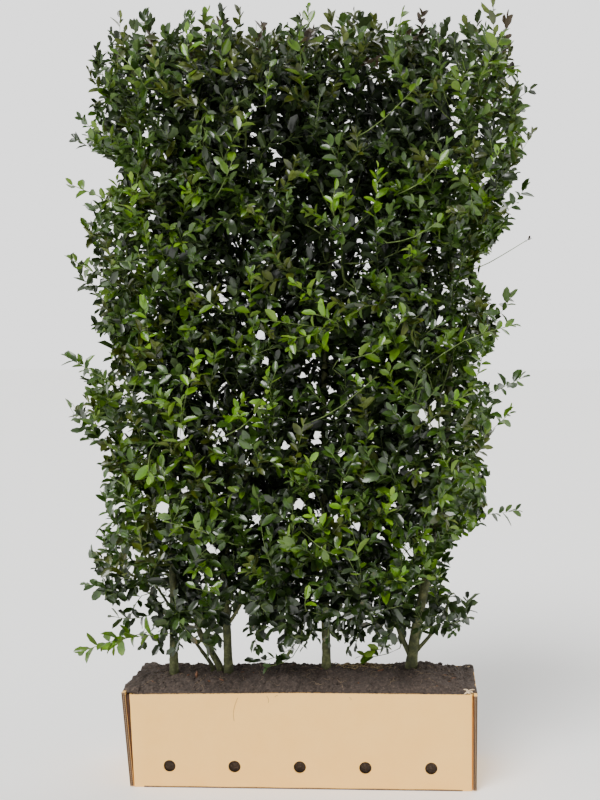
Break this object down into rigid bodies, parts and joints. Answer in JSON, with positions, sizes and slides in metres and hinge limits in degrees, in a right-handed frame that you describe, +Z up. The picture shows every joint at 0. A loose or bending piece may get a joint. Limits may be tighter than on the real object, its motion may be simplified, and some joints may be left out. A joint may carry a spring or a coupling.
{
  "type": "holly hedge element in a cardboard trough",
  "caption": "Multi-stem holly grown as one flat leafy hedge panel, standing in soil in a long corrugated cardboard trough.",
  "frame": {"origin": "the middle of the trough's flat underside, on the level it stands on", "axes": "+Z up along the stems, X along the row of stems, front of the trough towards -Y"},
  "size_m": [1.3033, 0.4744, 2.1972],
  "materials": {
    "corrugated_board": "matte",
    "potting_soil": "matte",
    "green_bark": "matte",
    "holly_leaves": "satin"
  },
  "bodies": {
    "root": {"carton_tray": "corrugated_board", "carton_end_left": "corrugated_board", "carton_end_right": "corrugated_board", "soil": "potting_soil", "stem_a": "green_bark", "stem_b": "green_bark", "stem_b_side": "green_bark", "stem_c": "green_bark", "stem_d": "green_bark", "stem_e": "green_bark", "stem_e_left": "green_bark", "stem_e_right": "green_bark", "bough_low_2": "green_bark", "bough_low_3": "green_bark", "bough_waist_1": "green_bark", "bough_waist_2": "green_bark", "bough_waist_4": "green_bark", "bough_shoulder_1": "green_bark", "bough_shoulder_3": "green_bark", "bough_shoulder_4": "green_bark", "foliage_low_1": "holly_leaves", "foliage_low_2": "holly_leaves", "foliage_low_3": "holly_leaves", "foliage_low_4": "holly_leaves", "foliage_waist_1": "holly_leaves", "foliage_waist_2": "holly_leaves", "foliage_waist_3": "holly_leaves", "foliage_waist_4": "holly_leaves", "foliage_shoulder_1": "holly_leaves", "foliage_shoulder_2": "holly_leaves", "foliage_shoulder_3": "holly_leaves", "foliage_shoulder_4": "holly_leaves", "foliage_top_1": "holly_leaves", "foliage_top_2": "holly_leaves", "foliage_top_3": "holly_leaves", "foliage_top_4": "holly_leaves"}
  },
  "joints": []
}
